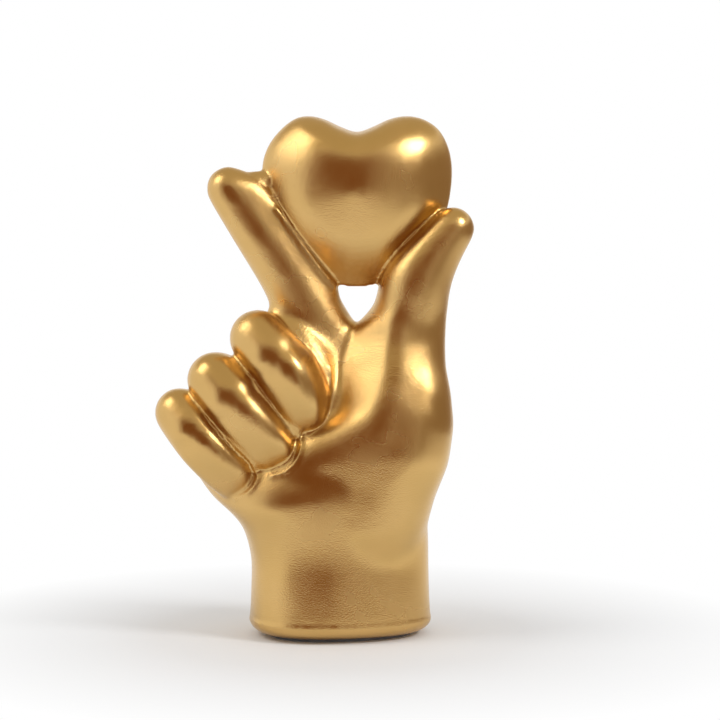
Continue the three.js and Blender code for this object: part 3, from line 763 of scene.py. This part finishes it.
# %% The holes for the pins
GLUE_LINE = 0.3
MERGE_DISTANCE = 0.001 * MM
PINNED = {
    "index_pin": ["hand_shell", "index_finger"],
    "thumb_pin": ["hand_shell", "thumb"],
    "heart_pin_left": ["heart", "index_finger"],
    "heart_pin_right": ["heart", "thumb"],
}
for pin, pinned in PINNED.items():
    tool = copy_of(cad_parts[pin], f"{pin}_tool")
    choose(tool)
    bpy.ops.object.mode_set(mode="EDIT")
    bpy.ops.mesh.select_all(action="SELECT")
    bpy.ops.mesh.remove_doubles(threshold=MERGE_DISTANCE)
    bpy.ops.object.mode_set(mode="OBJECT")
    swell(tool, GLUE_LINE * MM)
    apply_all(tool)
    for node in pinned:
        carve(pieces[node], tool, "DIFFERENCE")
    bpy.data.objects.remove(tool)
    print(pin, "goes into", pinned)

# %% Loose crumbs
CRUMB = 200


def drop_crumbs(piece):
    """Deletes the crumbs that the saw left loose, and gives back how many there were."""
    mesh = bmesh.new()
    mesh.from_mesh(piece.data)
    waiting = set(mesh.verts)
    crumbs = []
    count = 0
    while waiting:
        island = [waiting.pop()]
        for corner in island:
            for edge in corner.link_edges:
                other = edge.other_vert(corner)
                if other in waiting:
                    waiting.discard(other)
                    island.append(other)
        if len(island) < CRUMB:
            crumbs += island
            count += 1
    bmesh.ops.delete(mesh, geom=crumbs, context="VERTS")
    mesh.to_mesh(piece.data)
    mesh.free()
    return count


for node, piece in pieces.items():
    crumbs = drop_crumbs(piece)
    triangles = sum(len(face.vertices) - 2 for face in piece.data.polygons)
    print(piece.name, "crumbs", crumbs, "triangles", triangles)

# %% [markdown]
# ## The gold
#
# The real surface is metallic paint, sprayed on: satin, with a fine grain that sparkles in the
# highlights and that is stronger in some patches than in others. Every cast surface here has such
# a grain, so it is a group of nodes with its own scales, and a helper builds a finish round it.
# Its height is level between the patches, or their edges would show as steps.

# %% Helpers for nodes


def math_node(tree, operation):
    """A node that works out one sum or product."""
    node = tree.nodes.new("ShaderNodeMath")
    node.operation = operation
    return node


def smooth_range(tree, start, end):
    """A node that goes softly from 0 to 1 while its value goes from start to end."""
    node = tree.nodes.new("ShaderNodeMapRange")
    node.interpolation_type = "SMOOTHSTEP"
    node.inputs["From Min"].default_value = start
    node.inputs["From Max"].default_value = end
    return node


def link_all(tree, pairs):
    """Links each output to the input beside it."""
    for output, socket in pairs:
        tree.links.new(output, socket)


print("helpers for nodes:", math_node.__name__, smooth_range.__name__, link_all.__name__)

# %% A grain that every cast and painted surface has
FINE_DETAIL = 2
PATCH_DETAIL = 3
# the part of the coarse noise that goes from the weakest patch to the strongest
PATCH_LOW = 0.3
PATCH_HIGH = 0.7
WEAKEST_PATCH = 0.4
NOISE_MIDDLE = 0.5

grain = bpy.data.node_groups.new("grain", "ShaderNodeTree")
for name, way in (
    ("Scale", "INPUT"), ("Patch Scale", "INPUT"), ("Height", "OUTPUT"), ("Patches", "OUTPUT"),
):
    grain.interface.new_socket(name, in_out=way, socket_type="NodeSocketFloat")
given = grain.nodes.new("NodeGroupInput")
result = grain.nodes.new("NodeGroupOutput")
place = grain.nodes.new("ShaderNodeTexCoord")
fine = grain.nodes.new("ShaderNodeTexNoise")
fine.inputs["Detail"].default_value = FINE_DETAIL
coarse = grain.nodes.new("ShaderNodeTexNoise")
coarse.inputs["Detail"].default_value = PATCH_DETAIL
spread = smooth_range(grain, PATCH_LOW, PATCH_HIGH)
patchy = math_node(grain, "MULTIPLY_ADD")
patchy.inputs[1].default_value = 1 - WEAKEST_PATCH
patchy.inputs[2].default_value = WEAKEST_PATCH
level = math_node(grain, "SUBTRACT")
level.inputs[1].default_value = NOISE_MIDDLE
height = math_node(grain, "MULTIPLY")
link_all(grain, (
    (place.outputs["Object"], fine.inputs["Vector"]),
    (place.outputs["Object"], coarse.inputs["Vector"]),
    (given.outputs["Scale"], fine.inputs["Scale"]),
    (given.outputs["Patch Scale"], coarse.inputs["Scale"]),
    (coarse.outputs["Fac"], spread.inputs["Value"]),
    (spread.outputs["Result"], patchy.inputs[0]),
    (fine.outputs["Fac"], level.inputs[0]),
    (level.outputs[0], height.inputs[0]),
    (patchy.outputs[0], height.inputs[1]),
    (height.outputs[0], result.inputs["Height"]),
    (spread.outputs["Result"], result.inputs["Patches"]),
))
print("inputs of the grain:", [socket.name for socket in given.outputs if socket.name])

# %% A finish made with that grain


def grained(name, colours, metallic, roughness, scale, patch_scale, relief):
    """A material whose colour and roughness drift between two values and whose grain stands out
    by so many millimetres."""
    material = bpy.data.materials.new(name)
    material.use_nodes = True
    tree = material.node_tree
    nodes = tree.nodes
    principled = nodes["Principled BSDF"]
    principled.inputs["Metallic"].default_value = metallic
    grains = nodes.new("ShaderNodeGroup")
    grains.node_tree = grain
    grains.inputs["Scale"].default_value = scale
    grains.inputs["Patch Scale"].default_value = patch_scale
    drift = nodes.new("ShaderNodeValToRGB")
    for stop, colour in zip(drift.color_ramp.elements, colours):
        stop.color = (*colour, 1)
    gloss = nodes.new("ShaderNodeMapRange")
    gloss.inputs["To Min"].default_value, gloss.inputs["To Max"].default_value = roughness
    bump = nodes.new("ShaderNodeBump")
    bump.inputs["Strength"].default_value = 1
    bump.inputs["Distance"].default_value = relief * MM
    link_all(tree, (
        (grains.outputs["Patches"], drift.inputs["Fac"]),
        (grains.outputs["Patches"], gloss.inputs["Value"]),
        (grains.outputs["Height"], bump.inputs["Height"]),
        (drift.outputs["Color"], principled.inputs["Base Color"]),
        (gloss.outputs["Result"], principled.inputs["Roughness"]),
        (bump.outputs["Normal"], principled.inputs["Normal"]),
    ))
    print(name, "has a grain", relief, "mm high")
    return material


gold = grained(
    "gold_paint", [(0.65, 0.415, 0.15), (0.69, 0.445, 0.17)],
    metallic=1, roughness=(0.22, 0.28), scale=2200, patch_scale=45, relief=0.13,
)

# %% The gold paint on its pieces
SMOOTH_ANGLE = 55
SHADING_REACH = 0.02

# the uncut skin lends its shading, so that the saw cuts leave no line on the surface
for face in whole.data.polygons:
    face.use_smooth = True
for node, piece in pieces.items():
    piece.data.materials.clear()
    piece.data.materials.append(gold)
    choose(piece)
    bpy.ops.object.shade_smooth_by_angle(angle=math.radians(SMOOTH_ANGLE))
    shading = piece.modifiers.new("shading", "DATA_TRANSFER")
    shading.object = whole
    shading.use_loop_data = True
    shading.data_types_loops = {"CUSTOM_NORMAL"}
    shading.loop_mapping = "POLYINTERP_NEAREST"
    shading.use_max_distance = True
    shading.max_distance = SHADING_REACH * MM
    apply_all(piece)
    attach(piece, "root")
    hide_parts(node)
    print(piece.name, "takes the place of", node)
bpy.data.objects.remove(whole)

# %% [markdown]
# ## What is out of sight
#
# The pins are drawn steel, with a fine grain. The plate is the same resin as the figure, left
# unpainted, the plug is plaster with small pores, and the pad is a dark foam. Each gets its own
# grain from the same group of nodes.

# %% The hidden pieces' finishes
steel = grained(
    "drawn_steel", [(0.66, 0.67, 0.69), (0.76, 0.77, 0.79)],
    metallic=1, roughness=(0.3, 0.42), scale=1800, patch_scale=220, relief=0.05,
)
resin = grained(
    "bare_resin", [(0.84, 0.82, 0.75), (0.92, 0.9, 0.85)],
    metallic=0, roughness=(0.5, 0.62), scale=900, patch_scale=60, relief=0.08,
)
plaster = grained(
    "plaster", [(0.78, 0.77, 0.73), (0.88, 0.87, 0.85)],
    metallic=0, roughness=(0.8, 0.95), scale=700, patch_scale=40, relief=0.25,
)
foam = grained(
    "dark_foam", [(0.12, 0.12, 0.13), (0.18, 0.18, 0.19)],
    metallic=0, roughness=(0.85, 0.95), scale=1500, patch_scale=120, relief=0.2,
)
FINISHES = {
    "index_pin": steel, "thumb_pin": steel, "heart_pin_left": steel, "heart_pin_right": steel,
    "base_plate": resin, "ballast_plug": plaster, "base_pad": foam,
}
for name, finish in FINISHES.items():
    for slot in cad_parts[name].material_slots:
        slot.material = finish
    print(name, [slot.material.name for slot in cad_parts[name].material_slots])

# %% [markdown]
# ## The floor and the paper
#
# The photograph has a pure white background. The floor is pale paper that keeps the object's
# shadow, and away from the object it turns into plain white, for the camera and for what the gold
# reflects, without adding light to the object. It ends where the table's front edge was, because
# the gold shows that edge.

# %% The paper, plain white where camera, glossy and transmission rays see it


def seen_rays(tree):
    """Gives out 1 for camera, glossy and transmission rays, and 0 for all others."""
    ray = tree.nodes.new("ShaderNodeLightPath")
    seen = math_node(tree, "ADD")
    seen_through = math_node(tree, "ADD")
    seen_through.use_clamp = True
    link_all(tree, (
        (ray.outputs["Is Camera Ray"], seen.inputs[0]),
        (ray.outputs["Is Glossy Ray"], seen.inputs[1]),
        (seen.outputs[0], seen_through.inputs[0]),
        (ray.outputs["Is Transmission Ray"], seen_through.inputs[1]),
    ))
    return seen_through.outputs[0]


# the paper's own shade, and the distance from the object at which its white starts and is full
PAPER = (0.9, 0.9, 0.9, 1)
PAPER_ROUGHNESS = 0.8
WHITE = (1, 1, 1, 1)
WHITE_START = 0.07
WHITE_FULL = 0.17

paper = bpy.data.materials.new("paper")
paper.use_nodes = True
tree = paper.node_tree
nodes = tree.nodes
sheet = nodes["Principled BSDF"]
sheet.inputs["Base Color"].default_value = PAPER
sheet.inputs["Roughness"].default_value = PAPER_ROUGHNESS
white = nodes.new("ShaderNodeEmission")
white.inputs["Color"].default_value = WHITE
white.inputs["Strength"].default_value = 1
place = nodes.new("ShaderNodeTexCoord")
distance = nodes.new("ShaderNodeVectorMath")
distance.operation = "LENGTH"
far = nodes.new("ShaderNodeMapRange")
far.inputs["From Min"].default_value = WHITE_START
far.inputs["From Max"].default_value = WHITE_FULL
share = math_node(tree, "MULTIPLY")
mix = nodes.new("ShaderNodeMixShader")
link_all(tree, (
    (place.outputs["Object"], distance.inputs[0]),
    (distance.outputs["Value"], far.inputs["Value"]),
    (seen_rays(tree), share.inputs[0]),
    (far.outputs["Result"], share.inputs[1]),
    (share.outputs[0], mix.inputs["Fac"]),
    (sheet.outputs["BSDF"], mix.inputs[1]),
    (white.outputs["Emission"], mix.inputs[2]),
    (mix.outputs["Shader"], nodes["Material Output"].inputs["Surface"]),
))
print("the paper is plain white from", WHITE_FULL, "m outwards")

# %% The floor
FLOOR_SIZE = 2.4
TABLE_FRONT = -0.95
TABLE_RIGHT = 0.38
TABLE_BACK = 2.2

bpy.ops.object.select_all(action="DESELECT")
bpy.ops.mesh.primitive_plane_add(size=FLOOR_SIZE, location=(0, TABLE_BACK - FLOOR_SIZE / 2, 0))
floor = bpy.context.object
floor.name = "floor"
bpy.ops.object.transform_apply(location=True)
bpy.ops.object.mode_set(mode="EDIT")
for place, outwards in (((0, TABLE_FRONT, 0), (0, -1, 0)), ((TABLE_RIGHT, 0, 0), (1, 0, 0))):
    bpy.ops.mesh.select_all(action="SELECT")
    bpy.ops.mesh.bisect(plane_co=place, plane_no=outwards, clear_outer=True)
bpy.ops.object.mode_set(mode="OBJECT")
floor.data.materials.append(paper)
print("floor", [round(v, 2) for v in floor.dimensions])

# %% [markdown]
# ## The lamps
#
# Two highlights on the heart tell where the lamps were: a wide soft one high on the left, and a
# smaller one to the right of the camera. Metal shows its surroundings more than its own colour, so
# their places matter more than their strength.

# %% The lamps


def lamp(name, azimuth, height_angle, distance, size, watts, colour=(1, 1, 1)):
    """A soft lamp, aimed at the object. Azimuth 0 is the camera's side, 90 the right."""
    a, e = math.radians(azimuth), math.radians(height_angle)
    out = Vector((math.sin(a) * math.cos(e), -math.cos(a) * math.cos(e), math.sin(e)))
    data = bpy.data.lights.new(name, "AREA")
    data.shape = "RECTANGLE"
    data.size, data.size_y = size
    data.energy = watts
    data.color = colour
    lamp_object = bpy.data.objects.new(name, data)
    bpy.context.scene.collection.objects.link(lamp_object)
    lamp_object.location = LOOK_AT + out * distance
    lamp_object.rotation_euler = out.to_track_quat("Z", "Y").to_euler()
    print(name, "is at", [round(v, 2) for v in lamp_object.location])


lamp("softbox_left", azimuth=-74, height_angle=42, distance=1.0, size=(0.46, 0.5), watts=2.1)
lamp(
    "lamp_right", azimuth=59, height_angle=36, distance=1.2, size=(0.3, 0.3), watts=4.8,
    colour=(0.95, 0.97, 1),
)

# %% [markdown]
# ## What stood behind the camera
#
# The dark band across the heart, and the dark patches on the fingers, are reflections of the dark,
# unlit side of the room behind the camera. Two curved sheets of painted shade, dark and brown,
# stand in for it. They are seen only in reflections, and their sides fade out, as a room does.

# %% The painted shade behind the camera: two dark sheets
SHADE_SHEET_DISTANCE = 2.0
SHADE_SHEET_CUTS = 12
# the share of a painted shade sheet over which a side fades out
FEATHER = 0.2


def hang_shade_sheet(name, azimuths, heights, colour):
    """A curved sheet of painted shade round the object, for the dark room, that only its
    reflections show.
    """
    start, end = (math.radians(a - 90) for a in azimuths)
    bpy.ops.object.select_all(action="DESELECT")
    bpy.ops.mesh.primitive_plane_add(size=1)
    shade_sheet = bpy.context.object
    shade_sheet.name = name
    bpy.ops.object.mode_set(mode="EDIT")
    bpy.ops.mesh.subdivide(number_cuts=SHADE_SHEET_CUTS)
    bpy.ops.object.mode_set(mode="OBJECT")
    for corner in shade_sheet.data.vertices:
        turn = start + (end - start) * (corner.co.x + 0.5)
        height = heights[0] + (heights[1] - heights[0]) * (corner.co.y + 0.5)
        corner.co = (SHADE_SHEET_DISTANCE * math.cos(turn), SHADE_SHEET_DISTANCE * math.sin(turn), height)
    shade_sheet.visible_camera = False
    shade_sheet.visible_shadow = False
    shade_sheet.visible_diffuse = False
    painted_shade = bpy.data.materials.new(name)
    painted_shade.use_nodes = True
    tree = painted_shade.node_tree
    surface = tree.nodes["Principled BSDF"]
    # the sheet's colour is painted shade: the darkness of the unlit room, as the gold reflects it
    surface.inputs["Base Color"].default_value = colour
    surface.inputs["Roughness"].default_value = 1
    place = tree.nodes.new("ShaderNodeUVMap")
    split = tree.nodes.new("ShaderNodeSeparateXYZ")
    left, right, top = (
        smooth_range(tree, edge, inner)
        for edge, inner in ((0, FEATHER), (1, 1 - FEATHER), (1, 1 - FEATHER))
    )
    sides = math_node(tree, "MULTIPLY")
    solid = math_node(tree, "MULTIPLY")
    link_all(tree, (
        (place.outputs["UV"], split.inputs["Vector"]),
        (split.outputs["X"], left.inputs["Value"]),
        (split.outputs["X"], right.inputs["Value"]),
        (split.outputs["Y"], top.inputs["Value"]),
        (left.outputs["Result"], sides.inputs[0]),
        (right.outputs["Result"], sides.inputs[1]),
        (sides.outputs[0], solid.inputs[0]),
        (top.outputs["Result"], solid.inputs[1]),
        (solid.outputs[0], surface.inputs["Alpha"]),
    ))
    shade_sheet.data.materials.append(painted_shade)
    print(name, "hangs", SHADE_SHEET_DISTANCE, "m from the object")


# painted shade: a dark russet sheet for the unlit room behind the camera, and a dim brown one for
# the room's right side
hang_shade_sheet(
    "dark_room_shade", azimuths=(-52, 32), heights=(-0.7, 1.5), colour=(0.34, 0.125, 0.025, 1)
)
hang_shade_sheet(
    "brown_room_shade", azimuths=(10, 165), heights=(-0.9, 1.1), colour=(0.52, 0.38, 0.27, 1)
)

# %% [markdown]
# ## The room
#
# The rest is a white room with a warm, duller ceiling. Camera, glossy and transmission rays see
# it white, and the other rays get plain soft light.

# %% The room
AMBIENT = (0.62, 0.62, 0.62, 1)
CEILING = (0.62, 0.55, 0.42, 1)
# the height, between 0 at the horizon and 1 overhead, over which the ceiling starts
CEILING_START = 0.42
CEILING_FULL = 0.62

world = bpy.data.worlds.new("studio")
world.use_nodes = True
bpy.context.scene.world = world
tree = world.node_tree
sky = tree.nodes["Background"]
sky.inputs["Strength"].default_value = 1
look = tree.nodes.new("ShaderNodeTexCoord")
split = tree.nodes.new("ShaderNodeSeparateXYZ")


def colour_between(share, before, after):
    """Mixes two colours of the room by a share."""
    mixer = tree.nodes.new("ShaderNodeMix")
    mixer.data_type = "RGBA"
    tree.links.new(share, mixer.inputs["Factor"])
    for socket, colour in (("A", before), ("B", after)):
        target = next(s for s in mixer.inputs if s.name == socket and s.type == "RGBA")
        if isinstance(colour, tuple):
            target.default_value = colour
        else:
            tree.links.new(colour, target)
    return next(s for s in mixer.outputs if s.type == "RGBA")


overhead = smooth_range(tree, CEILING_START, CEILING_FULL)
room = colour_between(overhead.outputs["Result"], WHITE, CEILING)
shown = colour_between(seen_rays(tree), AMBIENT, room)
link_all(tree, (
    (look.outputs["Generated"], split.inputs["Vector"]),
    (split.outputs["Z"], overhead.inputs["Value"]),
    (shown, sky.inputs["Color"]),
))
bpy.context.scene.view_settings.view_transform = "Standard"
print("the ceiling starts at", CEILING_START)
